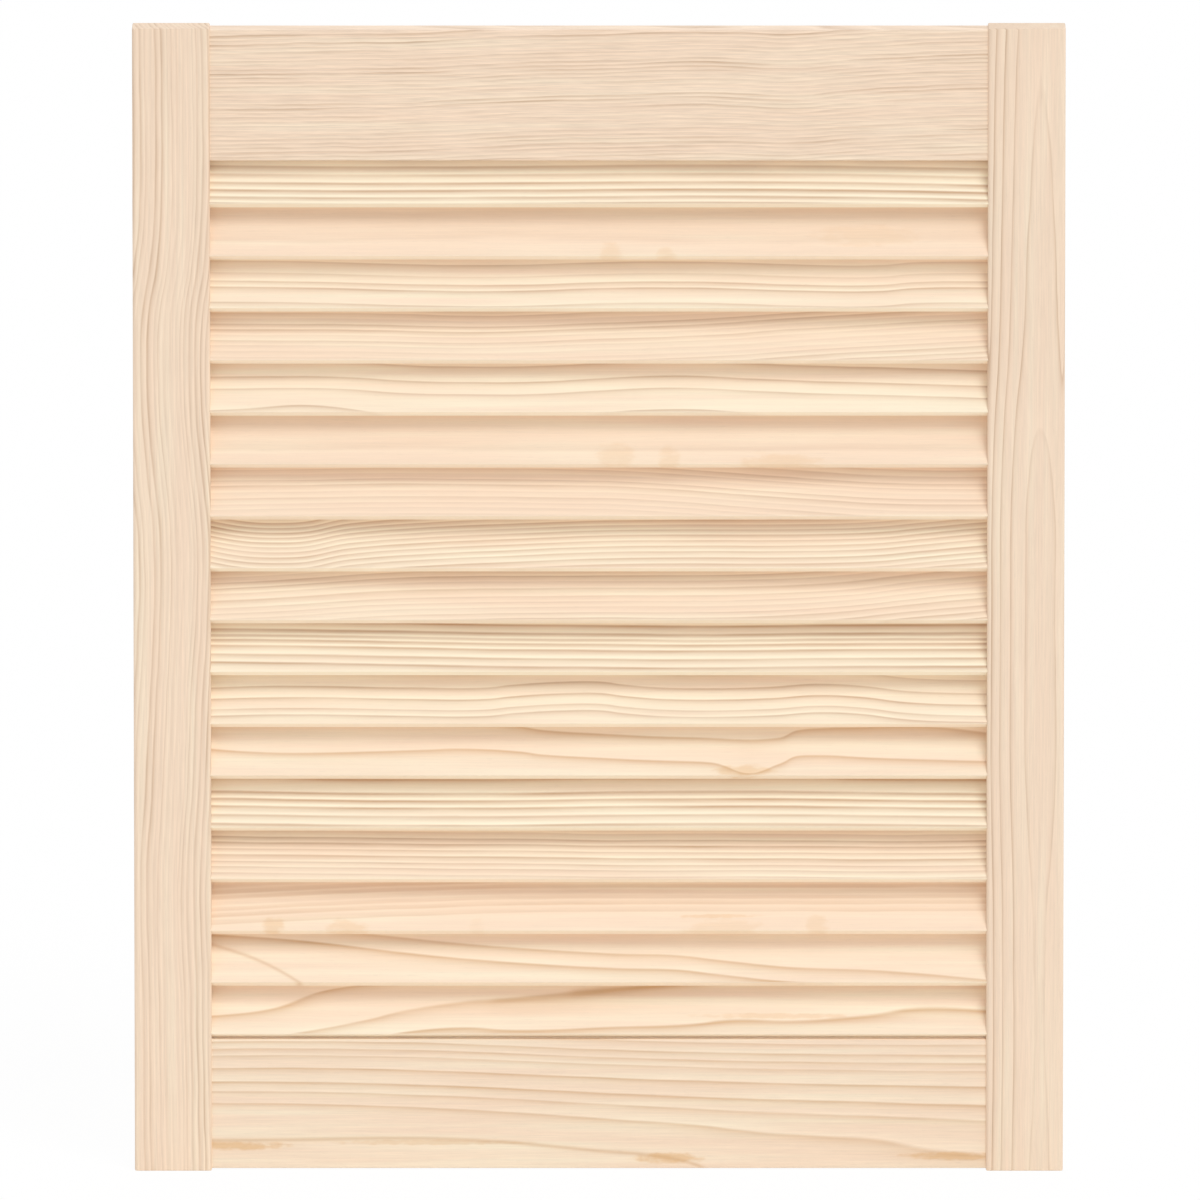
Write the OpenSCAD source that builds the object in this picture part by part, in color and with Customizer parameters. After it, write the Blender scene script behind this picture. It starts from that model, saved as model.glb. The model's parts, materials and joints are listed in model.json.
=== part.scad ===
// Louvred cabinet door in pine. Two stiles carry two rails on glued dowels, and fixed louvres sit
// with their ends in slanted slots in the stiles. The front faces -Y, +Z is up, and the origin is
// the middle of the door's bottom. Millimetres.

/* [Door] */
// Width of the door over both stiles
door_width = 494; // [300:1:800]
// Height of the door, which is the length of the stiles
door_height = 615; // [350:1:1400]

/* [Stiles] */
// Width of each stile, seen from the front
stile_width = 41; // [36:1:80]
// Thickness of each stile, front to back
stile_thickness = 21; // [20:0.5:40]
// Rounding of the long edges of the stiles
stile_edge_radius = 2; // [0.5:0.25:4]
// Chamfer round the sawn ends of the stiles
stile_end_chamfer = 0.5; // [0.2:0.1:1.5]

/* [Rails] */
// Height of the top rail
top_rail_height = 70; // [50:1:150]
// Height of the bottom rail
bottom_rail_height = 70; // [50:1:150]
// How far the faces of the rails lie behind the faces of the stiles
rail_recess = 2; // [0.5:0.25:3]
// How far the outer edges of the rails stop short of the ends of the stiles
rail_end_inset = 1; // [0:0.5:10]
// Rounding of the long edges of the rails
rail_edge_radius = 1; // [0.5:0.25:4]
// Height of the rebate along the back of the top rail, which the first louvre reaches into
rebate_height = 4; // [1:0.5:8]
// Clearance between the front of that rebate and the first louvre
rebate_clearance = 0.5; // [0.2:0.1:2]

/* [Louvres] */
// Width of a louvre, from its lower front edge to its upper back edge
louvre_width = 30.4; // [20:0.2:33]
// Thickness of a louvre
louvre_thickness = 6; // [5.5:0.5:7.5]
// Rounding of the long edges of a louvre
louvre_edge_radius = 0.5; // [0.5:0.25:2.5]
// Lean of the louvres from upright, in degrees
louvre_angle = 28; // [15:1:30]
// Wanted spacing of the louvres, which is then trimmed to fill the opening evenly
louvre_spacing = 28; // [22:0.5:45]
// How far each end of a louvre goes into its stile
louvre_tongue = 9; // [4:0.5:15]
// Free height between the first louvre and the top rail, and between the last and the bottom rail
louvre_rail_gap = 0.25; // [0.1:0.05:3]
// Clearance on every side of a louvre in its slot
slot_clearance = 0.1; // [0.05:0.05:0.3]
// Room left between the end of a louvre and the bottom of its slot
slot_end_gap = 0.5; // [0.2:0.1:2]

/* [Dowels] */
// Diameter of the dowels
dowel_diameter = 8; // [6:0.5:10]
// Length of the dowels, half in the rail and half in the stile
dowel_length = 40; // [24:1:60]
// Distance between the two dowels of a rail end
dowel_spacing = 32; // [16:1:38]
// Chamfer at the ends of the dowels
dowel_chamfer = 1; // [0.3:0.1:2]
// Number of glue flutes along a dowel
flute_count = 12; // [6:1:20]
// Radius of a glue flute
flute_radius = 0.5; // [0.3:0.05:0.6]
// Depth of a glue flute
flute_depth = 0.3; // [0.1:0.05:0.5]
// Clearance round a dowel in its hole
dowel_clearance = 0.05; // [0.02:0.01:0.2]
// Room left at each end of a dowel for glue
dowel_end_gap = 0.5; // [0.2:0.1:2]

/* [Hidden] */
$fn = 64;
pine_stile_colour = "#F0D8B8";
pine_rail_colour = "#F2DCBE";
pine_louvre_colour = "#FBE5C6";
beech_colour = "#D9B084";

// How far a cutting shape reaches past the face that it cuts
cut_margin = 1;

opening_width = door_width - 2 * stile_width;
rail_thickness = stile_thickness - 2 * rail_recess;
rail_bottom_z = rail_end_inset;
rail_top_z = door_height - rail_end_inset;
opening_bottom_z = rail_bottom_z + bottom_rail_height;
opening_top_z = rail_top_z - top_rail_height;

// Upright extent of a leaning louvre, over its rounded edges
louvre_rise = (louvre_width - 2 * louvre_edge_radius) * cos(louvre_angle)
    + (louvre_thickness - 2 * louvre_edge_radius) * sin(louvre_angle)
    + 2 * louvre_edge_radius;
first_louvre_top_z = opening_top_z + rebate_height - louvre_rail_gap;
last_louvre_bottom_z = opening_bottom_z + louvre_rail_gap;
louvre_run = first_louvre_top_z - last_louvre_bottom_z - louvre_rise;
louvre_count = round(louvre_run / louvre_spacing) + 1;
louvre_step = louvre_run / (louvre_count - 1);
louvre_length = opening_width + 2 * louvre_tongue;

// Middle of a louvre, counted from the top of the door
function louvre_z(number) = first_louvre_top_z - louvre_rise / 2 - (number - 1) * louvre_step;
function louvre_name(number) = str("louvre_", number < 10 ? "0" : "", number);

// Where the front face of the first louvre passes under the front of the top rail
rebate_front_y = (opening_top_z - louvre_z(1)) * tan(louvre_angle)
    - louvre_thickness / 2 / cos(louvre_angle) - rebate_clearance;

// The two rails, the two sides and the two places of the dowels, each with its name
rail_middles = [["top", rail_top_z - top_rail_height / 2], ["bottom", rail_bottom_z + bottom_rail_height / 2]];
sides = [["left", -1], ["right", 1]];
places = [["upper", dowel_spacing / 2], ["lower", -dowel_spacing / 2]];

// Every dowel as its name, its side and its height
dowels = [
    for (rail = rail_middles)
        for (side = sides)
            for (place = places)
                [str(rail[0], "_", side[0], "_", place[0], "_dowel"), side[1], rail[1] + place[1]]
];
dowel_heights = [for (rail = rail_middles) for (place = places) rail[1] + place[1]];

// A rectangle round its own middle, with its corners rounded
module rounded_rectangle(across, along, radius) {
    square([across - 2 * radius, along], center = true);
    square([across, along - 2 * radius], center = true);
    for (x = [-1, 1], y = [-1, 1])
        translate([x * (across / 2 - radius), y * (along / 2 - radius)]) circle(r = radius);
}

// A rectangle round its own middle, with its corners cut off
module chamfered_rectangle(across, along, cut) {
    x = across / 2;
    y = along / 2;
    polygon([
        [x - cut, y], [x, y - cut], [x, cut - y], [x - cut, -y],
        [cut - x, -y], [-x, cut - y], [-x, y - cut], [cut - x, y]
    ]);
}

// Stands a flat outline up across the door: its x runs front to back, its y up, its length along X
module along_x(length) {
    rotate([90, 0, 90]) linear_extrude(length, center = true) children();
}

// The outline of a louvre, grown by the clearance given, leaning back from its lower front edge
module leaning_louvre(length, clearance) {
    rotate([-louvre_angle, 0, 0])
        along_x(length)
            rounded_rectangle(
                louvre_thickness + 2 * clearance,
                louvre_width + 2 * clearance,
                louvre_edge_radius + clearance
            );
}

// A stile before it is slotted and drilled, round its own middle
module stile_blank() {
    intersection() {
        linear_extrude(door_height, center = true)
            rounded_rectangle(stile_width, stile_thickness, stile_edge_radius);
        rotate([90, 0, 0])
            linear_extrude(stile_thickness + 2 * cut_margin, center = true)
                chamfered_rectangle(stile_width, door_height, stile_end_chamfer);
        along_x(stile_width + 2 * cut_margin)
            chamfered_rectangle(stile_thickness, door_height, stile_end_chamfer);
    }
}

// The blind slot in the left stile for one louvre end
module louvre_slot(number) {
    depth = louvre_tongue + slot_end_gap;
    length = depth + cut_margin;
    translate([-opening_width / 2 - depth + length / 2, 0, louvre_z(number)])
        leaning_louvre(length, slot_clearance);
}

// A hole along X for a dowel, as deep in the rail as in the stile, round the joint between them
module dowel_hole() {
    rotate([0, 90, 0])
        cylinder(
            d = dowel_diameter + 2 * dowel_clearance,
            h = dowel_length + 2 * dowel_end_gap,
            center = true
        );
}

module left_stile() {
    color(pine_stile_colour)
        difference() {
            translate([-(door_width - stile_width) / 2, 0, door_height / 2]) stile_blank();
            for (number = [1:louvre_count]) louvre_slot(number);
            for (z = dowel_heights) translate([-opening_width / 2, 0, z]) dowel_hole();
        }
}

module right_stile() {
    mirror([1, 0, 0]) left_stile();
}

// A rail of the given height, with its middle at the given height above the floor
module rail(height, middle_z) {
    color(pine_rail_colour)
        difference() {
            translate([0, 0, middle_z])
                along_x(opening_width) rounded_rectangle(rail_thickness, height, rail_edge_radius);
            for (side = sides, place = places)
                translate([side[1] * opening_width / 2, 0, middle_z + place[1]]) dowel_hole();
        }
}

module top_rail() {
    difference() {
        rail(top_rail_height, rail_middles[0][1]);
        translate([-door_width / 2, rebate_front_y, opening_top_z - cut_margin])
            cube([door_width, rail_thickness, rebate_height + cut_margin]);
    }
}

module bottom_rail() {
    rail(bottom_rail_height, rail_middles[1][1]);
}

module louvre(number) {
    color(pine_louvre_colour)
        translate([0, 0, louvre_z(number)]) leaning_louvre(louvre_length, 0);
}

// A fluted dowel through the joint between a rail and a stile, which is at +1 or -1 on X
module dowel(side, z) {
    radius = dowel_diameter / 2;
    half = dowel_length / 2;
    color(beech_colour)
        translate([side * opening_width / 2, 0, z])
            rotate([0, 90, 0])
                difference() {
                    rotate_extrude()
                        polygon([
                            [0, -half], [radius - dowel_chamfer, -half], [radius, dowel_chamfer - half],
                            [radius, half - dowel_chamfer], [radius - dowel_chamfer, half], [0, half]
                        ]);
                    for (turn = [0:flute_count - 1])
                        rotate([0, 0, turn * 360 / flute_count])
                            translate([radius + flute_radius - flute_depth, 0, 0])
                                cylinder(r = flute_radius, h = dowel_length + 2 * cut_margin, center = true);
                }
}

left_stile();
right_stile();
top_rail();
bottom_rail();
for (number = [1:louvre_count])
    louvre(number);
for (peg = dowels)
    dowel(peg[1], peg[2]);
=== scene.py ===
# %% [markdown]
# # A louvred cabinet door in pine
# The door is a frame of two upright stiles and two cross rails, with seventeen fixed slats, called
# louvres, between them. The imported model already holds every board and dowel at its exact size, so
# this lesson gives those boards their wood, and sets up the floor, the light and the camera.

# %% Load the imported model
import json
from math import cos, degrees, hypot, radians, sin

import bmesh
import bpy
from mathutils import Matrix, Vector

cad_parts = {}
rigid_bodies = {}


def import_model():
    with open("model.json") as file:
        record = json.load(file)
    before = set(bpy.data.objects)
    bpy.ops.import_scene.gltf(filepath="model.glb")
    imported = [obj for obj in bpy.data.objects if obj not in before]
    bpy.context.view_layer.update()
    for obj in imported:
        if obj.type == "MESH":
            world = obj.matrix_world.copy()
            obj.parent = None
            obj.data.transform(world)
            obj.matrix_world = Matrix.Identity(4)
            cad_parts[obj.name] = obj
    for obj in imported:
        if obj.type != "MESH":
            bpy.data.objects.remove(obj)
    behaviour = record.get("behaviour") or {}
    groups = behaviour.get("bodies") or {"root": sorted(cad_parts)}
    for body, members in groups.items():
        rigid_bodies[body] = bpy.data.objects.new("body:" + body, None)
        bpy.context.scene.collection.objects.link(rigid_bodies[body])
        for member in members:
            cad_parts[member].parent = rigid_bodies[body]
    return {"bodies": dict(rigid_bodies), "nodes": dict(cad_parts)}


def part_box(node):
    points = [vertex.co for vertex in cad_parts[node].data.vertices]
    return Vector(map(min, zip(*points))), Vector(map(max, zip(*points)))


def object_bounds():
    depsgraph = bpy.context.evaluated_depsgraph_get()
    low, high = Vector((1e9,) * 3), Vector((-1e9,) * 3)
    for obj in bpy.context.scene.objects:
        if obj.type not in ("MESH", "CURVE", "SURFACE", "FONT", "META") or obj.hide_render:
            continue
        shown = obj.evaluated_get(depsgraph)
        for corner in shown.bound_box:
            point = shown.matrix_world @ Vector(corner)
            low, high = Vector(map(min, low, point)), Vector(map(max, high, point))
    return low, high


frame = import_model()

boards = frame["nodes"]

# %% [markdown]
# Blender may start with its own cube, lamp and camera. They would count as part of the scene, so
# everything that didn't come with the model goes.

# %% Clear what Blender starts with
from_the_model = set(boards.values()) | set(frame["bodies"].values())
for item in list(bpy.data.objects):
    if item not in from_the_model:
        bpy.data.objects.remove(item)

# %% [markdown]
# The box of the bare model is measured first.

# %% Measure the bare model
MM = 1000  # millimetres in a metre
cad_low, cad_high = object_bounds()
door_middle = (cad_low + cad_high) / 2
door_size = cad_high - cad_low
print("door, in mm:", [round(MM * side, 1) for side in door_size])

# %% [markdown]
# ## The camera
# The door is seen from straight ahead and a little above, so that the upper ends of the stiles just
# show, and its sides stay parallel. A close camera would make them lean together, so the camera
# stands far back with a very long lens, and looks down a little. An orthographic camera would keep
# them parallel too, but it has no lens and no distance that could be changed later.

# %% Set up the camera
camera_distance = 16.0
camera_height_angle = radians(9.8)
frame_width = 0.6372  # how much of the world fits across the picture, at the door
aim_right, aim_down = 0.0006, 0.0009

towards_camera = Vector((0, -cos(camera_height_angle), sin(camera_height_angle)))
aim = door_middle + Vector((aim_right, 0, -aim_down))
lens = bpy.data.cameras.new("long_lens")
lens.sensor_width = 36
lens.lens = lens.sensor_width * camera_distance / frame_width
lens.clip_start, lens.clip_end = 0.1, 60
camera = bpy.data.objects.new("camera", lens)
camera.location = aim + towards_camera * camera_distance
camera.rotation_euler = towards_camera.to_track_quat("Z", "Y").to_euler()
bpy.context.scene.collection.objects.link(camera)
bpy.context.scene.camera = camera
print(f"lens of {lens.lens:.0f} mm, field of view {degrees(lens.angle):.2f} degrees")

# %% [markdown]
# ## Shader maths as plain expressions
# A material is a tree of nodes, and sums in it are Math nodes. Adding them one by one takes pages
# and hides the formula. Wrapping a socket in a small class that knows +, -, * and / lets the sums
# be written as ordinary Python.

# %% Define the wrapper for sockets
class Signal:
    """An output socket. Arithmetic on it adds Math nodes to its tree."""

    def __init__(self, bench, socket):
        self.bench = bench
        self.socket = socket

    def math(self, operation, *rest):
        """A Math node with this socket as its first input. The others are numbers or signals."""
        return self.bench.add(
            "ShaderNodeMath", {"operation": operation}, dict(enumerate([self, *rest]))
        )

    def __add__(self, other):
        return self.math("ADD", other)

    def __sub__(self, other):
        return self.math("SUBTRACT", other)

    def __mul__(self, other):
        return self.math("MULTIPLY", other)

    def __truediv__(self, other):
        return self.math("DIVIDE", other)

    def __rsub__(self, other):
        return self.bench.add("ShaderNodeMath", {"operation": "SUBTRACT"}, {0: other, 1: self})

    __radd__ = __add__
    __rmul__ = __mul__


# %% [markdown]
# Any other node comes from one method, which takes its type, its settings, and the values or links
# of its sockets. It belongs to a bench, the place where one material is put together. Two kinds of
# node are used so often that they have short names: a smooth step, and a mix of two colours.

# %% Define the bench on which a tree of nodes is built
class Bench:
    """One node tree, emptied, and the method that adds nodes to it."""

    def __init__(self, tree):
        self.tree = tree
        tree.nodes.clear()

    def add(self, kind, settings=None, sockets=None, output=0):
        """A new node, set up first and then linked. What comes back is one of its outputs."""
        node = self.tree.nodes.new(kind)
        for name, value in (settings or {}).items():
            if name == "curve":
                self.draw_curve(node.mapping, value)
            else:
                setattr(node, name, value)
        for key, value in (sockets or {}).items():
            if isinstance(value, Signal):
                self.tree.links.new(value.socket, node.inputs[key])
            else:
                node.inputs[key].default_value = value
        return Signal(self, node.outputs[output]) if node.outputs else None

    def draw_curve(self, mapping, drawing):
        """Points for a Float Curve, which come with two at first, and how they are joined."""
        places, straight = drawing
        curve = mapping.curves[0]
        for _ in places[2:]:
            curve.points.new(0.5, 0.5)
        for point, place in zip(curve.points, places):
            point.location = place
            point.handle_type = "VECTOR" if straight else "AUTO"
        mapping.update()

    def parts(self, vector):
        """The three numbers of a vector."""
        first = self.add("ShaderNodeSeparateXYZ", {}, {0: vector})
        return [Signal(self, socket) for socket in first.socket.node.outputs]

    def step(self, value, low, high):
        """0 below low, 1 above high, and smooth in between."""
        return self.add(
            "ShaderNodeMapRange",
            {"interpolation_type": "SMOOTHSTEP"},
            {"Value": value, "From Min": low, "From Max": high},
        )

    def mix(self, share, colour_a, colour_b):
        """A colour between two others. A Mix node takes them at inputs 6 and 7. Its output is 2."""
        return self.add(
            "ShaderNodeMix", {"data_type": "RGBA"}, {0: share, 6: colour_a, 7: colour_b}, 2
        )


# %% [markdown]
# Colours are easiest to judge as they look on a screen, but a shader counts light, and twice the
# light doesn't look twice as bright. The standard sRGB curve turns the one into the other.

# %% Define a colour as seen on a screen
def paint(red, green, blue):
    """A colour given as on a screen, 0 to 255, in the linear numbers that a shader takes."""
    shares = [value / 255 for value in (red, green, blue)]
    return (*[s / 12.92 if s <= 0.04045 else ((s + 0.055) / 1.055) ** 2.4 for s in shares], 1)


print("mid grey in linear numbers:", [round(share, 3) for share in paint(128, 128, 128)])

# %% [markdown]
# ## Light, world and floor
# The key light comes from the upper right of the camera. It is broad enough that the shadow under
# each louvre has a soft edge. A second, broader lamp lights the back. Both are suns, which light
# every part of the door alike, as a far studio lamp does. The key is a very little green.

# %% Set up the lamps
def hang_lamp(name, strength, colour, spread, towards):
    """A very distant lamp, which looks "spread" degrees wide and stands in direction "towards"."""
    lamp = bpy.data.lights.new(name, "SUN")
    lamp.energy = strength
    lamp.color = colour
    lamp.angle = radians(spread)
    hung = bpy.data.objects.new(name, lamp)
    hung.rotation_euler = Vector(towards).to_track_quat("Z", "Y").to_euler()
    bpy.context.scene.collection.objects.link(hung)
    print(name, strength)


hang_lamp("key_light", strength=1.1, colour=(0.98, 1, 0.98), spread=27, towards=(0.5, -1, 1.25))
hang_lamp("back_fill", strength=0.65, colour=(1, 1, 1), spread=70, towards=(0.1, 1, 0.6))

# %% [markdown]
# The world lights everything evenly from all sides, which keeps the shadows between the louvres
# pale. It is a very little pink, so they are also a touch rosier than the lit wood. A world as weak
# as this would look grey in the picture. So a ray from the camera, or one that a surface mirrors or
# lets through, sees plain white instead, and only the rays that light the door see the fill.

# %% Set up the world
world = bpy.data.worlds.new("white_studio")
world.use_nodes = True
bpy.context.scene.world = world
studio = Bench(world.node_tree)
fill_strength = 0.6
fill_colour = (1, 0.975, 1, 1)


def seen_ray(bench):
    """1 for a ray from the camera, or one mirrored or let through by a surface, and 0 otherwise."""
    camera_ray = bench.add("ShaderNodeLightPath", output="Is Camera Ray")
    others = camera_ray.socket.node.outputs
    mirrored = Signal(bench, others["Is Glossy Ray"])
    let_through = Signal(bench, others["Is Transmission Ray"])
    return camera_ray.math("MAXIMUM", mirrored).math("MAXIMUM", let_through)


fill = studio.add("ShaderNodeBackground", {}, {"Color": fill_colour, "Strength": fill_strength})
white = studio.add("ShaderNodeBackground", {}, {"Color": (1, 1, 1, 1), "Strength": 1})
sky = studio.add("ShaderNodeMixShader", {}, {0: seen_ray(studio), 1: fill, 2: white})
studio.add("ShaderNodeOutputWorld", {}, {"Surface": sky})
print("world of strength", fill_strength)

# %% [markdown]
# The floor is one flat square, because only its colour and the door's shadow on it are ever seen.
# It is so wide that its edge can't be told from the white world behind it.

# %% Lay the floor
floor_half = 9
floor_mesh = bpy.data.meshes.new("floor")
sheet = bmesh.new()
bmesh.ops.create_grid(sheet, x_segments=1, y_segments=1, size=floor_half)
sheet.to_mesh(floor_mesh)
sheet.free()
floor = bpy.data.objects.new("floor", floor_mesh)
bpy.context.scene.collection.objects.link(floor)
print("floor", 2 * floor_half, "m wide")

# %% [markdown]
# The floor glows a little, like a lit white table, and so brightens the undersides of the louvres.
# Most of what the camera sees of it is plain white, and the rest is lit like any surface, so the
# door still drops a faint shadow at its foot.

# %% Finish the floor
floor_paint = (0.86, 0.86, 0.86, 1)
glow_strength = 2
glow_share = 0.14
plain_white_share = 0.93

floor_finish = bpy.data.materials.new("white_floor")
floor_finish.use_nodes = True
ground = Bench(floor_finish.node_tree)
lit = ground.add("ShaderNodeBsdfDiffuse", {}, {"Color": floor_paint})
glow = ground.add("ShaderNodeEmission", {}, {"Color": (1, 1, 1, 1), "Strength": glow_strength})
plain = ground.add("ShaderNodeEmission", {}, {"Color": (1, 1, 1, 1), "Strength": 1})
glowing = ground.add("ShaderNodeMixShader", {}, {0: glow_share, 1: lit, 2: glow})
shown = ground.add(
    "ShaderNodeMixShader", {}, {0: seen_ray(ground) * plain_white_share, 1: glowing, 2: plain}
)
ground.add("ShaderNodeOutputMaterial", {}, {"Surface": shown})
floor_mesh.materials.append(floor_finish)
print(f"{plain_white_share:.0%} of the floor's look is plain white")

# %% [markdown]
# ## How pine is drawn
# A pine trunk adds one ring a year: pale soft wood in spring, which darkens and hardens towards the
# autumn and then stops sharply. A board is a cut through those rings, and its figure depends only
# on where the middle of the trunk, the pith, lay beside the board. Far to one side, the face shows
# straight even lines. Close behind the face, it shows wide bands and arches.
#
# So the wood is solid: each board has its own pith line, and a point's colour comes from its
# distance to that line. The faces, the edges and the sawn ends then agree with each other, as on a
# real board. A curve bends the lines up and down along the board, small hills in that curve stand
# for places where the trunk swelled, and slow noise keeps any line from being perfect.
#
# Lengths here are in millimetres. On each board, "along" runs with the grain, "through" from front
# to back, and "across" is the third direction.

# %% Find a point's place on its board
def board_place(bench, middle, turn):
    """A point's place along, through and across its board, in millimetres from its middle."""
    place = bench.add("ShaderNodeTexCoord", output="Object")
    on_board = bench.add(
        "ShaderNodeMapping",
        {"vector_type": "TEXTURE"},
        {"Vector": place, "Location": middle, "Rotation": turn},
    )
    return bench.add(
        "ShaderNodeVectorMath", {"operation": "SCALE"}, {"Vector": on_board, "Scale": MM}
    )


# %% [markdown]
# Wood grows along the trunk, so nearly everything in it is much longer than it is wide. A noise
# has round blots. To draw them out, the place is divided by the size that a blot should have in
# each direction before the noise sees it. Every pattern has a number of its own that is added to
# the board's seed, so that no two patterns lie on top of each other.

# %% Draw a noise out along the grain
SEED_DIRECTION = (1, 0.37, 0.71)  # how far a seed of 1 shifts the place, in the noise's own units
PATTERNS = {  # blot size along, through and across, in mm; what the seed gains; detail
    "wander": ((90, 40, 26), 0, 2),
    "ripple": ((26, 14, 7), 5, 2),
    "streaks": ((80, 2.2, 1.1), 11, 2),
    "fibres": ((17, 1, 0.7), 17, 2),
    "tints": ((140, 9, 5), 23, 1),
    "canals": ((6, 0.5, 0.45), 31, 1),
    "rags": ((7, 3.5, 3), 37, 2),
    "patches": ((55, 9, 4), 41, 1),
}


def drawn_out_noise(bench, place, size, seed, detail=2):
    """Noise from -1 to 1, with blots of the given size in millimetres in the three directions."""
    shift = [seed * share for share in SEED_DIRECTION]
    scaled = bench.add(
        "ShaderNodeVectorMath",
        {"operation": "MULTIPLY_ADD"},
        {0: place, 1: [1 / side for side in size], 2: shift},
    )
    noise = bench.add(
        "ShaderNodeTexNoise", {}, {"Vector": scaled, "Scale": 1, "Detail": detail}
    )
    return (noise - 0.5) * 2


def pattern(bench, place, board, name):
    """One of the board's own noises, from -1 to 1."""
    size, seed_gain, detail = PATTERNS[name]
    return drawn_out_noise(bench, place, size, board["seed"] + seed_gain, detail)


print(len(PATTERNS), "patterns")

# %% [markdown]
# The bend of the lines along a board is a Float Curve. Its points are given in millimetres: how far
# along the board, and how far the lines are pushed across it there. The node wants numbers from 0
# to 1, so both are scaled on the way in and out.

# %% Bend the grain along a board
FLOW_RANGE = (-30, 30)  # millimetres, and no board's lines are pushed further than this


def drawn_curve(bench, value, points, low, high, straight=False):
    """A curve through the points given, whose height stays between low and high."""
    start, end = points[0][0], points[-1][0]
    scaled = [((x - start) / (end - start), (y - low) / (high - low)) for x, y in points]
    bent = bench.add(
        "ShaderNodeFloatCurve",
        {"curve": (scaled, straight)},
        {"Value": (value - start) / (end - start)},
    )
    return bent * (high - low) + low


def grain_flow(bench, along, points):
    """How far the lines are pushed across the board at each place along it."""
    return drawn_curve(bench, along, points, *FLOW_RANGE) if points else 0.0


def grain_hill(bench, along, across, hill):
    """A rounded hill at one place of the board: its two coordinates, two sizes and height."""
    at_along, at_across, long_size, short_size, height = hill
    u = (along - at_along) / long_size
    v = (across - at_across) / short_size
    return (0 - (u * u + v * v)).math("EXPONENT") * height


# %% [markdown]
# A point's distance from the pith decides which ring it is in. The flow and the hills push the
# lines up or down before that distance is taken. A second curve, the swell, adds to it at each
# place along the board. Where the pith lies close behind the face, this is what opens and closes
# the arches. Two noises, one slow and one quicker, are added last.
#
# Where a face runs along a ring and not across it, the ring comes out very wide. So a second number
# says how squarely the rings are cut: 1 for straight across, and less for an arch.

# %% Measure the distance from the pith
LEAST_SQUARENESS = 0.05  # keeps a line from vanishing where it is cut flat, at the top of an arch


def pith_distance(bench, place, board):
    """A point's distance from the pith, in millimetres, and how squarely its ring is cut."""
    along, through, across = bench.parts(place)
    pith_through, pith_across = board["pith"]
    dive, rise = board["tilt"]
    shift = grain_flow(bench, along, board["flow"])
    for hill in board["hills"]:
        shift = shift + grain_hill(bench, along, across, hill)
    deep = through - pith_through - along * dive
    wide = across - pith_across - along * rise - shift
    radius = (deep * deep + wide * wide).math("SQRT")
    squareness = (wide.math("ABSOLUTE") / radius).math("MAXIMUM", LEAST_SQUARENESS)
    distance = radius + grain_flow(bench, along, board["swell"])
    wander = pattern(bench, place, board, "wander") * board["wander"]
    ripple = pattern(bench, place, board, "ripple") * board["ripple"]
    return distance + wander + ripple, squareness


# %% [markdown]
# The years are a count of rings that grows with the distance. Its whole part is the year, from
# which each ring gets its own strength, and the rest is the season. Besides the years, each point
# needs its distance to the end of its ring, where the dark line lies.
#
# Most boards have rings of one width, and a noise on the count, the drift, makes them differ a
# little. A board whose rings differ much lists the distance at which each of them ends, and two
# straight-lined curves read the list: one from the distance to the year, and one back.

# %% Count the rings
DRIFT_PACE = 0.31  # how far the drift's noise moves on with each year


def listed_rings(bench, distance, ends):
    """The years, and the distance to the ring's end, on a board that lists its rings."""
    counted = [(ring_end, year) for year, ring_end in enumerate(ends)]
    years = drawn_curve(bench, distance, counted, 0, len(ends) - 1, straight=True)
    ring_end = drawn_curve(
        bench, years.math("CEIL"), list(enumerate(ends)), ends[0], ends[-1], straight=True
    )
    return years, ring_end - distance


def even_rings(bench, distance, board):
    """The same two numbers on a board whose rings all have about one width."""
    pith_through, pith_across = board["pith"]
    dive, rise = board["tilt"]
    line_along, line_across = board["line_at"]
    line_distance = hypot(
        board["front"] - pith_through - dive * line_along,
        line_across - pith_across - rise * line_along,
    )
    years = (distance - line_distance) / board["ring"]
    drift = bench.add(
        "ShaderNodeTexNoise",
        {"noise_dimensions": "1D"},
        {"W": years * DRIFT_PACE + board["seed"], "Scale": 1, "Detail": 1},
    )
    years = years + (drift - 0.5) * board["drift"]
    return years, (1 - years.math("FRACT")) * board["ring"]


# %% [markdown]
# Within a ring the wood darkens slowly towards its end and then turns pale at once. A plain ramp
# would do for one ring, but its dark part would grow with the ring's width. So the slow rise is an
# exponential of the distance to the ring's end, and the sudden fall is a narrow step. How dark a
# ring gets is a random number for its year, times a slower noise that makes groups of dark years,
# and a third noise lets each line fade and return along the board.

# %% Darken the late wood
SPRING_SHARE = 0.35  # the share of a ring at its start in which late wood only fades in
GROUP_PACE = 0.23  # how far the noise for groups of years moves on with each year
GROUP_SEED = 8  # what the board's seed gains for that noise


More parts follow.
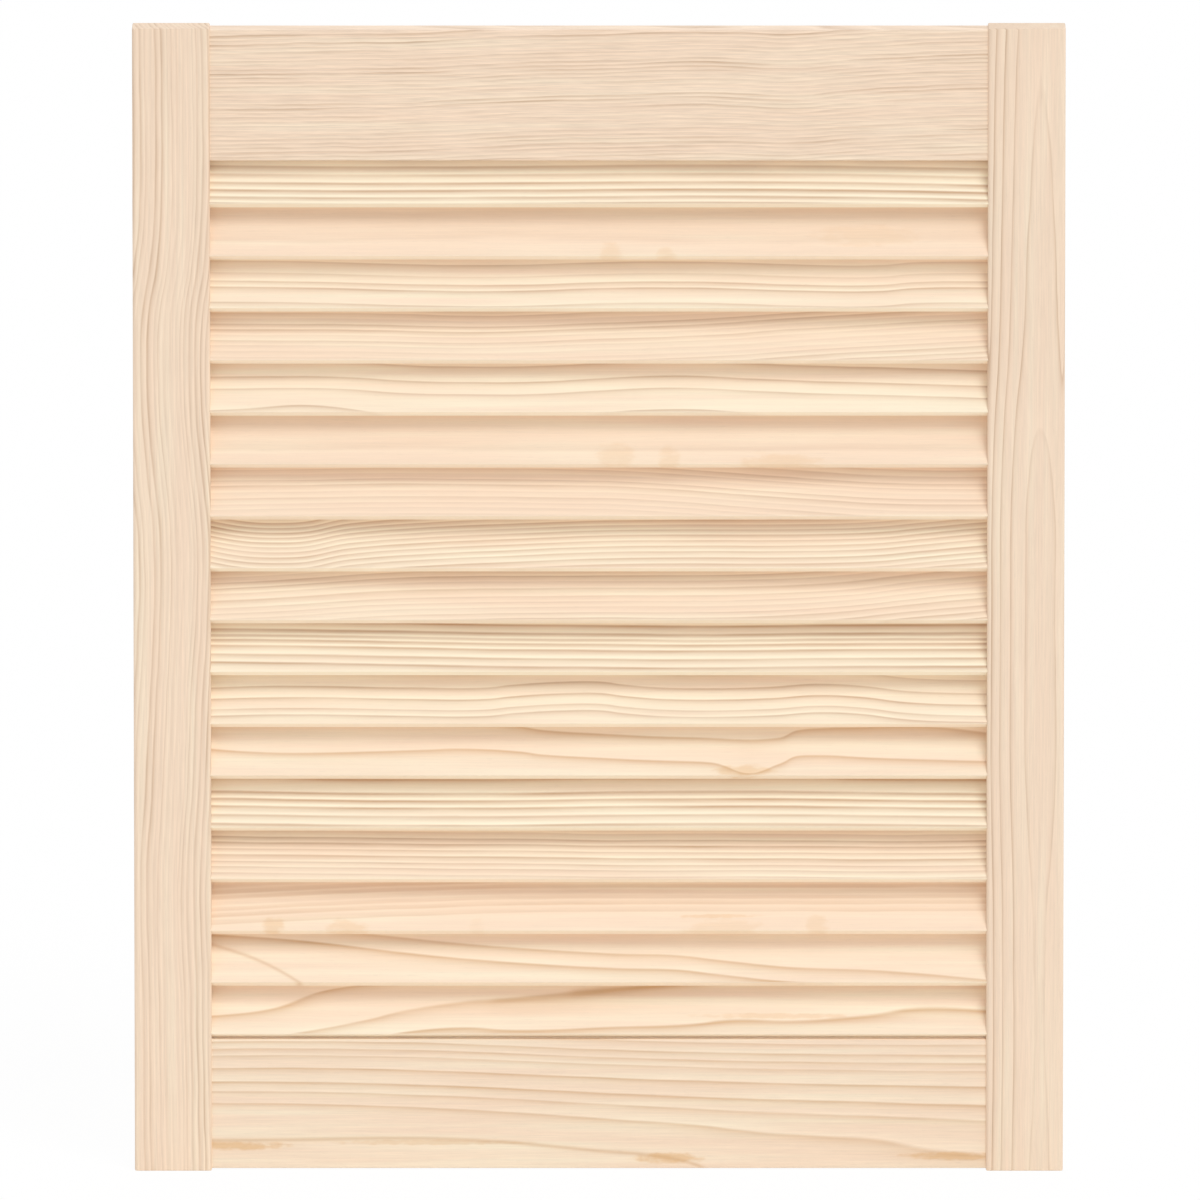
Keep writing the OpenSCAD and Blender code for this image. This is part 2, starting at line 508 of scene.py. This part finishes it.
def late_wood(bench, place, years, to_the_end, squareness, board):
    """From 0 in spring wood to 1 in the darkest autumn wood."""
    sudden_fall = bench.step(to_the_end, 0, board["edge"])
    if board["even"]:
        to_the_end = to_the_end / squareness
    slow_rise = (0 - to_the_end / board["fade"]).math("EXPONENT")
    start = bench.step(years.math("FRACT"), 0, SPRING_SHARE)
    strength = bench.add(
        "ShaderNodeTexWhiteNoise", {"noise_dimensions": "1D"}, {"W": years.math("FLOOR")}
    )
    groups = bench.add(
        "ShaderNodeTexNoise",
        {"noise_dimensions": "1D"},
        {"W": years * GROUP_PACE + board["seed"] + GROUP_SEED, "Scale": 1, "Detail": 0},
    )
    patches = pattern(bench, place, board, "patches")
    strength = strength * board["uneven"] + (1 - board["uneven"])
    strength = strength * (1 + (groups - 0.5) * board["group"]) * (1 + patches * board["patchy"])
    return slow_rise * sudden_fall * start * strength.math("MAXIMUM", 0)


# %% [markdown]
# Here and there pine has a ragged stain, or a single soft line that follows a path of its own,
# called a vein here. A stain is an ellipse whose edge a noise tears up. A vein is drawn as a curve,
# and its strength falls away to both sides of it like a bell.

# %% Define stains and veins
STAIN_EDGE = 0.9        # the share of a stain that its soft edge takes up
VEIN_RANGE = (-40, 40)  # millimetres across the board
VEIN_RUN_IN = 10        # millimetres over which a vein begins and ends


def stain_share(bench, along, across, raggedness, stain):
    """1 inside one ragged stain times its strength, 0 outside: its place, two sizes, strength."""
    at_along, at_across, long_size, short_size, strength = stain
    u = (along - at_along) / long_size
    v = (across - at_across) / short_size
    return bench.step(1 - (u * u + v * v) + raggedness, 0, STAIN_EDGE) * strength


def vein_share(bench, along, across, vein):
    """The strength of a line on its path, and less beside it: its path, half width and strength."""
    path, half_width, strength = vein
    start, end = path[0][0], path[-1][0]
    beside = (across - drawn_curve(bench, along, path, *VEIN_RANGE)) / half_width
    begun = bench.step(along, start, start + VEIN_RUN_IN)
    ended = bench.step(along, end - VEIN_RUN_IN, end)
    return (0 - beside * beside).math("EXPONENT") * begun * (1 - ended) * strength


# %% [markdown]
# Five colours make the pine. Spring wood goes slowly to and fro between cream and pink. Stains,
# veins and late wood are mixed over it, the last two in brown on most boards and in amber on the
# few whose lines are warmer.
#
# The narrow lower edge of a louvre, its nose, lies along the rings and not across them. It is
# painted paler too, with faint lines and a creamier tint. That is painted light, which keeps the
# nose as bright as the lit face above it.

# %% Mix the colour of the wood
CREAM = paint(254, 242, 215)
PINK = paint(250, 225, 199)
LATE = paint(204, 169, 135)
AMBER = paint(210, 165, 114)
STAIN = paint(236, 198, 152)
PINK_RANGE = (-0.6, 0.6)
RAGGEDNESS = 0.9
# Painted light on the nose: there the late wood and the pink tint fade, so it looks as bright as the
# lit face.
NOSE_LIGHT_EDGE = (0.1, 0.6)                 # millimetres from the nose to where the face begins
LATE_UNDER_NOSE_LIGHT, PINK_UNDER_NOSE_LIGHT = 0.2, 0.6  # what the nose keeps of each


def wood_colour(bench, place, late, board):
    """The colour of the wood, with painted light on the nose, and its late wood faded there too."""
    along, _, across = bench.parts(place)
    tints = pattern(bench, place, board, "tints")
    pinkness = bench.step(tints * board["blots"] + board["pink"], *PINK_RANGE)
    # Painted light: on the nose the late wood and the pink tint fade, so it looks lit like the face
    # above.
    if board["nose"]:
        face_start, face_full = (board["nose"] + edge for edge in NOSE_LIGHT_EDGE)
        past_nose_light = bench.step(across, face_start, face_full)
        late = late * (past_nose_light * (1 - LATE_UNDER_NOSE_LIGHT) + LATE_UNDER_NOSE_LIGHT)
        pinkness = pinkness * (past_nose_light * (1 - PINK_UNDER_NOSE_LIGHT) + PINK_UNDER_NOSE_LIGHT)
    wood = bench.mix(pinkness, CREAM, PINK)
    raggedness = pattern(bench, place, board, "rags") * RAGGEDNESS
    for stain in board["stains"]:
        wood = bench.mix(stain_share(bench, along, across, raggedness, stain), wood, STAIN)
    for vein in board["veins"]:
        wood = bench.mix(vein_share(bench, along, across, vein), wood, board["late"])
    return bench.mix((late * board["dark"]).math("MINIMUM", 1.0), wood, board["late"]), late


# %% [markdown]
# Over those colours lies a shade that darkens or brightens them a little. Fibres run along the
# board as fine pale and dark streaks. Resin canals that are cut open show as a few short dark
# dashes. The first wood of each spring is the palest. A sawn end is a face that looks along the
# grain, and there, where the fibres end, the wood is a little duller.

# %% Shade the wood
CANAL_RANGE, CANAL_DARKENING = (0.3, 0.5), 0.04
FIRST_WOOD_WIDTH = 0.6  # millimetres
SAWN_RANGE, SAWN_DARKENING = (0.6, 0.85), 0.02


def sawn_share(bench, board):
    """1 on the sawn ends of a board and 0 on its faces."""
    normal = bench.add("ShaderNodeTexCoord", output="Normal")
    facing = bench.add(
        "ShaderNodeVectorMath",
        {"operation": "DOT_PRODUCT"},
        {0: normal, 1: board["grain"]},
        "Value",
    )
    return bench.step(facing.math("ABSOLUTE"), *SAWN_RANGE)


def wood_shade(bench, place, years, streaks, fibres, sawn, board):
    """What the colour of the wood is multiplied by, about 1."""
    canals = bench.step(pattern(bench, place, board, "canals"), *CANAL_RANGE)
    first_wood = (0 - years.math("FRACT") * (board["ring"] / FIRST_WOOD_WIDTH)).math("EXPONENT")
    shade = 1 + streaks * board["streak"] + fibres * board["fibre"]
    shade = shade * (1 - canals * CANAL_DARKENING)
    return shade * (first_wood * board["gleam"] + board["tone_and_shade"]) * (1 - sawn * SAWN_DARKENING)


# %% [markdown]
# Late wood is harder than spring wood, so a planed face has faint ridges, and its fibres stand up a
# little too. Both are far too shallow for geometry, so a Bump node bends the light there instead.
# Bare wood is dull: its roughness is high, a little less on the dense late wood, and more where it
# was sawn.

# %% Make a board of pine
RIDGE_HEIGHT = 0.00007  # metres
STREAK_RELIEF, FIBRE_RELIEF = 0.2, 0.25  # shares of that height
PINE_ROUGHNESS = 0.62
LATE_SMOOTHER, FIBRE_ROUGHER, SAWN_ROUGHER = 0.1, 0.05, 0.15
WOOD_IOR = 1.45


def pine(name, board):
    """A finish of solid pine, cut as the board says."""
    finish = bpy.data.materials.new(name)
    finish.use_nodes = True
    bench = Bench(finish.node_tree)
    place = board_place(bench, board["middle"], board["turn"])
    distance, squareness = pith_distance(bench, place, board)
    if board["rings"]:
        years, to_the_end = listed_rings(bench, distance, board["rings"])
    else:
        years, to_the_end = even_rings(bench, distance, board)
    late = late_wood(bench, place, years, to_the_end, squareness, board)
    colour, late = wood_colour(bench, place, late, board)

    streaks = pattern(bench, place, board, "streaks")
    fibres = pattern(bench, place, board, "fibres")
    sawn = sawn_share(bench, board)
    shade = wood_shade(bench, place, years, streaks, fibres, sawn, board)
    colour = bench.add(
        "ShaderNodeVectorMath", {"operation": "SCALE"}, {0: colour, "Scale": shade}
    )

    relief = late * board["ridge"] + streaks * STREAK_RELIEF + fibres * FIBRE_RELIEF
    bump = bench.add(
        "ShaderNodeBump", {}, {"Strength": 1.0, "Distance": RIDGE_HEIGHT, "Height": relief}
    )
    roughness = PINE_ROUGHNESS - late * LATE_SMOOTHER + fibres * FIBRE_ROUGHER
    surface = bench.add(
        "ShaderNodeBsdfPrincipled",
        {},
        {
            "Base Color": colour,
            "Roughness": roughness + sawn * SAWN_ROUGHER,
            "Normal": bump,
            "IOR": WOOD_IOR,
        },
    )
    bench.add("ShaderNodeOutputMaterial", {}, {"Surface": surface})
    return finish


# %% [markdown]
# ## The boards, one by one
# Every board has values of its own, all in millimetres or as plain shares. Listing only what is
# special about each keeps the lists short: what a board doesn't say, it takes from the plain board.
#
# - "pith" is where the middle of the trunk lay, as through and across, and "tilt" is how that line
#   climbs along the board. "ring" is the width of a ring, and "line_at" a place where a dark line
#   crosses the front. "rings" lists ring ends instead.
# - "flow", "swell" and "hills" bend the lines, and so do "wander" and "ripple", slow and quick.
#   "drift" makes the widths uneven.
# - "fade" is the width of the late wood's slow rise, and "edge" that of its sudden fall. "even"
#   keeps the dark line thin along an arch. "dark" is its strength, which differs by "uneven" from
#   year to year, by "group" from one group of years to the next, and by "patchy" along a line.
#   "late" is its colour.
# - "ridge" is the height of the relief. "streak", "fibre" and "gleam" are strengths of the shade,
#   and "tone_and_shade" is its mean, which on the stiles and rails also holds painted shade. "pink"
#   is the mean tint, and "blots" says how much it changes.
#
# Where the lines of a real board can be told apart, its rings and curves follow them: they were
# measured at a few places along the board and rounded. The other values were tried and corrected
# until the board looked right.
#
# The kind of board says how it is turned and which way its grain runs. Its "front" is how deep its
# front face lies, which its box gives, except for a louvre, whose box is that of a leaning board.
# Only a louvre has a "nose", which is given by its place across.

# %% Describe a plain board
LOUVRE_LEAN = radians(28)  # from upright
LOUVRE_WIDTH, LOUVRE_THICKNESS = 30.4, 6
CUTS = {
    "stile": {"turn": (0, radians(-90), 0), "grain": (0, 0, 1)},
    "rail": {"turn": (0, 0, 0), "grain": (1, 0, 0)},
    "louvre": {
        "turn": (-LOUVRE_LEAN, 0, 0), "grain": (1, 0, 0),
        "front": -LOUVRE_THICKNESS / 2, "nose": -LOUVRE_WIDTH / 2,
    },
}
PLAIN_BOARD = {
    "pith": (4, -90), "tilt": (0, 0), "line_at": (0, -8), "ring": 4.4, "flow": [], "swell": [],
    "hills": [], "stains": [], "veins": [], "rings": [], "nose": None, "wander": 0.8,
    "ripple": 0.15, "drift": 0.6, "fade": 1.3, "edge": 0.8, "even": False, "uneven": 0.5,
    "group": 0.4, "patchy": 0.5, "dark": 1.3, "late": LATE, "ridge": 0.8, "streak": 0.04,
    "fibre": 0.04, "pink": 0.2, "blots": 0.7, "gleam": 0.02, "tone_and_shade": 1.0,
}


def board_of(node, cut, own_values):
    """The full description of one board."""
    low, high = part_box(node)
    middle = (low + high) / 2
    in_the_model = {"middle": middle, "front": (low.y - middle.y) * MM}
    return {**PLAIN_BOARD, **in_the_model, **CUTS[cut], **own_values}


print(len(PLAIN_BOARD), "values describe a board")

# %% [markdown]
# The stiles stand upright, so "along" is the height above the middle of the door. The left one has
# fine upright lines in slow waves. On the right one the pith lies close behind the face, and the
# rings run out in long narrow arches.

# %% Describe the stiles
# The stiles have tones a little below the louvres'. That is painted shade: the upright frame is made
# darker than the louvres, which tilt up and catch more light from above.
frame_boards = {
    "left_stile": ("stile", {
        "seed": 1.0, "pith": (20, -95), "ring": 2.7, "line_at": (0, 2), "fade": 0.7, "dark": 1.25,
        "flow": [(-308, 2), (-210, 3), (-154, 4), (-99, 1), (-53, -1), (-20, -3), (28, -4), (71, 0),
                 (114, 3), (148, 2.5), (182, -2), (207, -4), (308, -4)],
        "wander": 1.6, "ripple": 0.4, "drift": 1.6, "streak": 0.09, "fibre": 0.08,
        "uneven": 0.85, "group": 1.4, "patchy": 1.0, "pink": 0.38, "blots": 0.6, "gleam": 0.04,
        "tone_and_shade": 0.935,
    }),
    "right_stile": ("stile", {
        "seed": 2.3, "pith": (26.5, -7.9), "line_at": (97, -7.9), "ring": 2.5,
        "swell": [(-308, -0.4), (-182, -0.1), (-86, -0.9), (0, -0.9), (54, -0.75), (97, 0),
                  (131, 1.05), (200, 1.7), (284, 2.5), (308, 2.9)],
        "fade": 0.8, "edge": 0.12, "even": True, "dark": 1.1, "uneven": 0.4, "wander": 0.25,
        "ripple": 0.08, "drift": 0.1, "ridge": 0.7, "streak": 0.08, "fibre": 0.08,
        "pink": 0.38, "blots": 0.6, "tone_and_shade": 0.924,
    }),
}
print(len(frame_boards), "stiles described")

# %% [markdown]
# The top rail was cut close to the edge of a slow-grown trunk, so its lines are fine and close. The
# bottom rail has wide rings, and its pith lay behind its lower edge, so the bands widen downwards.

# %% Describe the rails
# The rails' tones, a little below the louvres', are painted shade too: the upright frame is made
# darker than the louvres, which catch more light from above.
frame_boards["top_rail"] = ("rail", {
    "seed": 3.1, "pith": (15, -150), "ring": 2.3, "fade": 0.7, "dark": 1.1, "uneven": 0.7,
    "flow": [(-206, -6), (-100, -4.5), (-40, -1.5), (0, -0.5), (50, 1), (75, 0.5), (100, -0.5),
             (130, 1.5), (170, 4), (206, 5)],
    "ridge": 1.0, "streak": 0.09, "fibre": 0.17, "group": 1.2, "patchy": 2.0, "wander": 1.4,
    "ripple": 0.7, "pink": 0.38, "blots": 0.6, "gleam": 0.05, "tone_and_shade": 0.935,
})
frame_boards["bottom_rail"] = ("rail", {
    "seed": 4.7, "pith": (32, -38), "tilt": (0.0364, 0), "ring": 5.3,
    "rings": [10, 49.4, 54.2, 58.4, 64.6, 70.4, 73.6, 77.1, 81.5],
    "flow": [(-206, 2), (-106, 3.8), (0, 2.3), (102, 2.2), (206, 4.5)], "fade": 1.0,
    "hills": [(195, -26, 60, 9, -5), (100, -16, 40, 8, -2.5)],
    "stains": [(-198, -22.8, 40, 3, 0.9), (-95, -21, 60, 1.7, 0.45), (36, -29.5, 20, 3.6, 0.85),
               (188, -28.3, 30, 2.8, 0.8)],
    "veins": [([(-216, -19.8), (-160, -19.5), (-107, -18.8), (-60, -20.2), (-20, -23.6), (0, -25.6),
                (25, -27.6), (45, -31), (62, -38)], 1.1, 0.45)],
    "edge": 0.7, "dark": 1.0, "late": AMBER, "uneven": 0.4, "ridge": 0.7, "streak": 0.06,
    "fibre": 0.07, "pink": 0.22, "gleam": 0.04, "tone_and_shade": 0.953, "wander": 0.5,
})
print(len(frame_boards), "boards of the frame described")

# %% [markdown]
# The louvres came from many trunks, so hardly two look alike: some are ribbed with straight lines,
# some nearly plain, and some show one or two bold lines that wander. They are counted from the top.

# %% Describe the first nine louvres
louvre_boards = {
    1: {"seed": 5.0, "rings": [60, 76.4, 79.8, 83.8, 87.9, 92.4, 97, 102], "dark": 1.75,
        "ridge": 1.0, "uneven": 0.25, "fade": 1.5, "edge": 1.4, "pink": -0.3, "wander": 0.3,
        "gleam": 0.03, "tone_and_shade": 1.025,
        "flow": [(-206, 0.2), (-139, -0.3), (-42, -0.2), (6, 0.3), (54, 0.6), (102, 0.2),
                 (151, -0.4), (206, -1.6)]},
    2: {"seed": 6.1, "ring": 5.0, "pith": (30, 2), "dark": 0.5, "ridge": 0.15, "pink": 0.5,
        "stains": [(6.5, -13, 7, 7, 0.3), (35.5, -15, 6, 6, 0.3), (142, -4, 34, 7, 0.2)]},
    3: {"seed": 7.2, "rings": [45, 60, 78.1, 86.5, 89.8, 94.4, 101, 107], "pink": 0.0,
        "wander": 0.4, "tone_and_shade": 1.005,
        "flow": [(-206, 1.1), (-157, 0.5), (-90, -1.2), (-42, -1.4), (0, 0), (40, 0.5), (70, 0),
                 (102, -1.1), (149, -1.5), (167, 0), (206, 0.3)]},
    4: {"seed": 8.3, "ring": 3.0, "dark": 1.2, "uneven": 0.8, "pink": 0.3,
        "flow": [(-206, 1.5), (-120, 1), (-60, 0), (0, 2), (60, 4.5), (110, 8), (160, 11),
                 (206, 13.5)]},
    5: {"seed": 9.4, "rings": [58, 75.3, 87.5, 94.3, 103, 111], "dark": 1.2, "uneven": 0.3,
        "pink": 0.0,
        "flow": [(-206, 1.2), (-172, 1.5), (-136, 0.8), (-102, -1.4), (-74, -2.1), (-31, -1.8),
                 (0, 0), (30, 1.6), (51, 1.6), (79, 0), (107, -1.2), (149, -2.2), (206, -4)],
        "hills": [(-155, -11, 30, 6, 3)]},
    6: {"seed": 10.5, "ring": 5.5, "pith": (28, 4), "dark": 0.6, "ridge": 0.15, "pink": 0.35,
        "stains": [(9, -10, 11, 9, 0.3), (37, -12, 6.5, 9, 0.3), (96, -14, 25, 6, 0.35)]},
    7: {"seed": 11.6, "ring": 3.2, "dark": 0.85, "uneven": 0.7, "ridge": 0.4, "pink": 0.4,
        "flow": [(-206, 0), (0, 0), (40, -2), (80, -5), (120, -8), (150, -10), (206, -10.5)]},
    8: {"seed": 12.7, "uneven": 0.4, "pink": -0.1, "wander": 0.4, "tone_and_shade": 1.02,
        "rings": [60, 63, 66, 68.9, 71.7, 74.5, 77.5, 80.9, 84.4, 87.5, 90.6, 93.7, 96.6, 99.4,
                  102.1, 104.8, 107.5, 110.2, 113, 116],
        "flow": [(-206, -8.5), (-168, -12.5), (-130, -7), (-90, -4), (-42, -1.7), (6, 0),
                 (54, 0.4), (102, 0.5), (135, 1.2), (151, 2.1), (170, 4), (206, 7.3)]},
    9: {"seed": 13.8, "ring": 3.4, "uneven": 0.7, "pink": 0.25, "tone_and_shade": 1.01,
        "flow": [(-206, 0), (-160, 2.5), (-110, 6), (-70, 7), (0, 7.5), (80, 8), (130, 11),
                 (165, 15), (206, 19)]},
}

# %% [markdown]
# The lower louvres have the boldest figures: on numbers 12, 16 and 17 two or three wide rings are
# cut nearly flat, and a single line swings over the whole face.

# %% Describe the other eight louvres
louvre_boards.update({
    10: {"seed": 14.9, "rings": [66, 81.1, 85.6, 90.5, 93.8, 96.4, 99.6, 104.3, 110],
         "dark": 2.0, "ridge": 1.0, "uneven": 0.3, "fade": 1.4, "edge": 1.3, "pink": -0.3,
         "gleam": 0.03, "tone_and_shade": 1.02, "wander": 0.4,
         "flow": [(-206, 0.3), (-150, -0.4), (-90, -1.4), (-50, -2.2), (0, -2.6), (60, -2.9),
                  (120, -2.3), (206, -1.9)]},
    11: {"seed": 16.0, "rings": [60, 80.7, 84.2, 90.2, 96.5, 104, 112], "dark": 1.25,
         "uneven": 0.4, "pink": 0.0, "wander": 0.4, "tone_and_shade": 1.02,
         "flow": [(-206, -0.8), (-157, 0.2), (-101, -0.8), (-60, -0.8), (-46, 0.7), (-18, 2.4),
                  (0, 2.4), (13, 0.7), (38, -1.2), (90, -0.6), (117, 1.2), (138, 0.2),
                  (166, -3), (206, -4.2)]},
    12: {"seed": 17.1, "rings": [50, 86.6, 99.8, 135], "dark": 1.4, "late": AMBER,
         "uneven": 0.2, "fade": 1.7, "edge": 1.2, "patchy": 0.2, "wander": 0.4, "tone_and_shade": 0.998,
         "stains": [(77, -12.5, 17, 4, 0.6)],
         "flow": [(-206, 3.9), (-176, 1.9), (-139, 2), (-90, 3.4), (-74, 3.9), (-42, 2.3),
                  (-31, 0.8), (0, -1), (49, -3.1), (95, -3.6), (106, 0), (116, 0.3),
                  (145, -1.1), (206, -2.8)],
         "hills": [(80, -11, 12, 9, -6), (-140, 12, 70, 7, 5), (170, 12, 50, 7, 5)]},
    13: {"seed": 18.2, "rings": [66, 77.8, 82.7, 87.5, 91.6, 95.6, 103.5, 110], "dark": 2.0,
         "ridge": 1.0, "uneven": 0.25, "fade": 1.6, "edge": 1.4, "pink": -0.3, "gleam": 0.03,
         "tone_and_shade": 1.02, "wander": 0.3,
         "flow": [(-206, 0.5), (-187, 0.3), (-139, -0.5), (-90, -0.8), (-42, -0.7), (6, 0),
                  (102, 0.2), (151, -0.4), (206, -1)]},
    14: {"seed": 19.3, "ring": 3.4, "dark": 1.4, "tone_and_shade": 1.02,
         "flow": [(-206, 3.7), (-187, 3.4), (-139, 3.1), (-90, 2.3), (-42, 2.1), (6, 1.2),
                  (54, 1.4), (102, 1.3), (151, 0.8), (206, 1.4)]},
    15: {"seed": 20.4, "pith": (40, 45), "dark": 0.62, "late": AMBER, "uneven": 0.6,
         "rings": [48, 50.6, 52.7, 54.8, 56.7, 58.7, 60.8, 63.2, 66, 95],
         "pink": 0.5, "tone_and_shade": 1.007,
         "flow": [(-206, -7), (-140, -3.5), (-90, -1.5), (-40, 0), (60, 0.5), (206, 1)],
         "stains": [(-173, -12.5, 7, 6.5, 0.5), (-134, -13.5, 13, 6, 0.4),
                    (-65, -13, 5, 6, 0.12), (63, -7, 26, 1.4, 0.5), (66, -14, 24, 7, 0.25),
                    (116, -12, 7, 7.5, 0.3)]},
    16: {"seed": 21.5, "rings": [48, 84.6, 92.6, 132], "dark": 1.4, "late": AMBER,
         "uneven": 0.3, "fade": 1.9, "edge": 1.4, "wander": 0.5, "pink": 0.15,
         "flow": [(-206, 18), (-157, 14.4), (-110, 8.6), (-59, 3.4), (6, -0.8), (41, -1.8),
                  (62, -4.2), (97, -8), (149, -10.5), (206, -15.5)],
         "veins": [([(-218, 10), (-206, 6), (-195, 2.5), (-183, -2), (-170, -8.5), (-158, -16),
                     (-150, -21)], 1.1, 0.4)]},
    17: {"seed": 22.6, "rings": [48, 80.1, 90.6, 105.3, 138], "dark": 1.35, "late": AMBER,
         "uneven": 0.3, "fade": 1.9, "edge": 1.4, "wander": 0.5, "pink": 0.15,
         "flow": [(-206, -19.5), (-184, -17.8), (-152, -12.8), (-122, -7.2), (-100, -2.9),
                  (-73, -1.1), (-45, -2.4), (6, -1.1), (48, 0), (69, 1.6), (102, 1.4),
                  (140, 3.4), (175, 6.8), (206, 7)],
         "hills": [(75, 13, 150, 14, 14), (-140, 8, 35, 9, 5), (-42, 6, 38, 9, 2)],
         "stains": [(90, -5, 50, 2, 0.4)],
         "veins": [([(-62, 3), (-31, 5.8), (-3, 9), (27, 11.4), (65, 14.5)], 1.3, 0.45),
                   ([(-20, 7.2), (5, 9.6), (30, 11.6), (65, 14.5)], 2.4, 0.4)]},
})
print(len(louvre_boards), "louvres described")

# %% [markdown]
# Each board's own finish takes the place of the plain colour that came with the model. The shapes
# are right already, so nothing is modelled again.

# %% Dress the boards
for number, own_values in louvre_boards.items():
    frame_boards[f"louvre_{number:02d}"] = ("louvre", own_values)


def dress(node, finish):
    """Gives a node of the model its finish."""
    for slot in boards[node].material_slots:
        slot.material = finish


for node, (cut, own_values) in frame_boards.items():
    if node in boards:
        dress(node, pine(f"pine_{node}", board_of(node, cut, own_values)))
print(len(frame_boards), "boards of pine")

# %% [markdown]
# ## The dowels
# Fluted beech dowels hold the rails to the stiles. They are hidden in the finished door and show
# only when it is taken apart. Beech is an even tan with short darker flecks and shows no rings at
# this size, so two noises do.

# %% Dress the dowels
BEECH = paint(217, 176, 132)
BEECH_FLECK = paint(186, 140, 98)
FLECK_SIZE, FLECK_SEED, FLECK_RANGE = (2.4, 0.5, 0.25), 3.3, (0.15, 0.45)
BAND_SIZE, BAND_SEED = (40, 1.6, 1.2), 7.9
BEECH_RELIEF = 0.00004  # metres
BEECH_ROUGHNESS = 0.6
FLECK_DEPTH, BAND_DEPTH, LEAST_DEPTH = 0.55, 0.2, 0.1  # shares of the fleck colour


def beech(name, middle):
    """A finish of beech, with its grain along the dowel."""
    finish = bpy.data.materials.new(name)
    finish.use_nodes = True
    bench = Bench(finish.node_tree)
    place = board_place(bench, middle, (0, 0, 0))
    flecks = bench.step(drawn_out_noise(bench, place, FLECK_SIZE, FLECK_SEED), *FLECK_RANGE)
    bands = drawn_out_noise(bench, place, BAND_SIZE, BAND_SEED)
    depth = flecks * FLECK_DEPTH + bands * BAND_DEPTH + LEAST_DEPTH
    colour = bench.mix(depth, BEECH, BEECH_FLECK)
    bump = bench.add(
        "ShaderNodeBump",
        {},
        {"Strength": 1.0, "Distance": BEECH_RELIEF, "Height": bands - flecks},
    )
    surface = bench.add(
        "ShaderNodeBsdfPrincipled",
        {},
        {
            "Base Color": colour,
            "Roughness": BEECH_ROUGHNESS + bands * FIBRE_ROUGHER,
            "Normal": bump,
            "IOR": WOOD_IOR,
        },
    )
    bench.add("ShaderNodeOutputMaterial", {}, {"Surface": surface})
    return finish


dowels = [node for node in boards if node.endswith("dowel")]
for node in dowels:
    low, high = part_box(node)
    dress(node, beech(f"beech_{node}", (low + high) / 2))
print(len(dowels), "dowels of beech")

# %% [markdown]
# ## Colour management
# The Standard view shows each colour as it was written.

# %% Finish
bpy.context.scene.view_settings.view_transform = "Standard"
